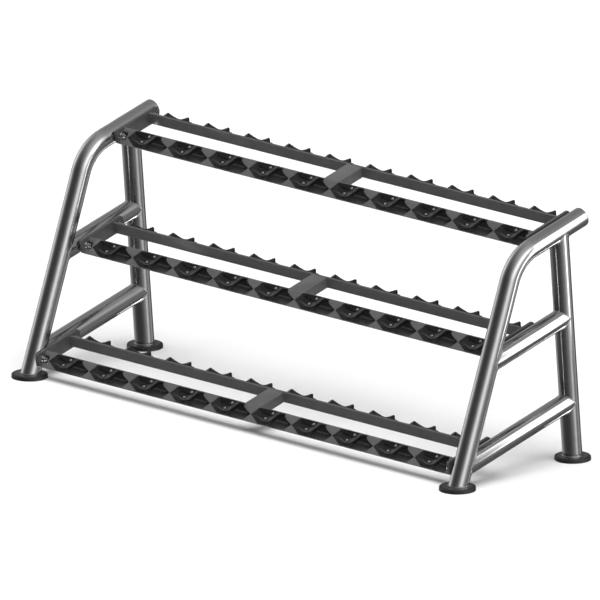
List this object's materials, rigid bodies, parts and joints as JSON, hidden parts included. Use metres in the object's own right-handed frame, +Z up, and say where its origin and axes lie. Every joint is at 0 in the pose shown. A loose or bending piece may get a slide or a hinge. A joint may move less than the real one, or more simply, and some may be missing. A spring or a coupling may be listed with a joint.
{
  "type": "dumbbell rack",
  "caption": "Free-standing tiered dumbbell rack: bent-tube side frames carry tilted trays with moulded saddles that cradle dumbbell heads.",
  "frame": {"origin": "on the floor, under the middle of the rack's length and midway between the front and rear feet", "axes": "+X along the rack to the right as seen from the front, +Y to the rear, +Z up"},
  "size_m": [2.44, 0.76, 0.9769],
  "materials": {
    "tube": "bright satin polished stainless tube",
    "rail_paint": "gloss dark grey powder coat",
    "plate_steel": "gloss dark grey powder coat",
    "saddle_plastic": "satin black moulded plastic",
    "rubber": "matte black rubber",
    "flange_steel": "satin black painted steel",
    "black_plastic": "satin black plastic",
    "fastener": "bright plated steel"
  },
  "bodies": {
    "root": {"left_front_leg": "tube", "left_rear_leg": "tube", "left_lower_rung": "tube", "left_middle_rung": "tube", "left_arm_cap": "black_plastic", "left_front_flange": "flange_steel", "left_rear_flange": "flange_steel", "left_front_foot": "rubber", "left_rear_foot": "rubber", "right_front_leg": "tube", "right_rear_leg": "tube", "right_lower_rung": "tube", "right_middle_rung": "tube", "right_arm_cap": "black_plastic", "right_front_flange": "flange_steel", "right_rear_flange": "flange_steel", "right_front_foot": "rubber", "right_rear_foot": "rubber", "left_lower_bracket": "plate_steel", "left_middle_bracket": "plate_steel", "left_upper_bracket": "plate_steel", "right_lower_bracket": "plate_steel", "right_middle_bracket": "plate_steel", "right_upper_bracket": "plate_steel", "lower_front_rail": "rail_paint", "lower_rear_rail": "rail_paint", "lower_centre_bar": "rail_paint", "lower_left_plate": "plate_steel", "lower_right_plate": "plate_steel", "lower_front_saddles": "saddle_plastic", "lower_rear_saddles": "saddle_plastic", "lower_screws": "fastener", "middle_front_rail": "rail_paint", "middle_rear_rail": "rail_paint", "middle_centre_bar": "rail_paint", "middle_left_plate": "plate_steel", "middle_right_plate": "plate_steel", "middle_front_saddles": "saddle_plastic", "middle_rear_saddles": "saddle_plastic", "middle_screws": "fastener", "upper_front_rail": "rail_paint", "upper_rear_rail": "rail_paint", "upper_centre_bar": "rail_paint", "upper_left_plate": "plate_steel", "upper_right_plate": "plate_steel", "upper_front_saddles": "saddle_plastic", "upper_rear_saddles": "saddle_plastic", "upper_screws": "fastener", "studs": "fastener", "stud_washers": "fastener", "stud_nuts": "fastener"}
  },
  "joints": []
}
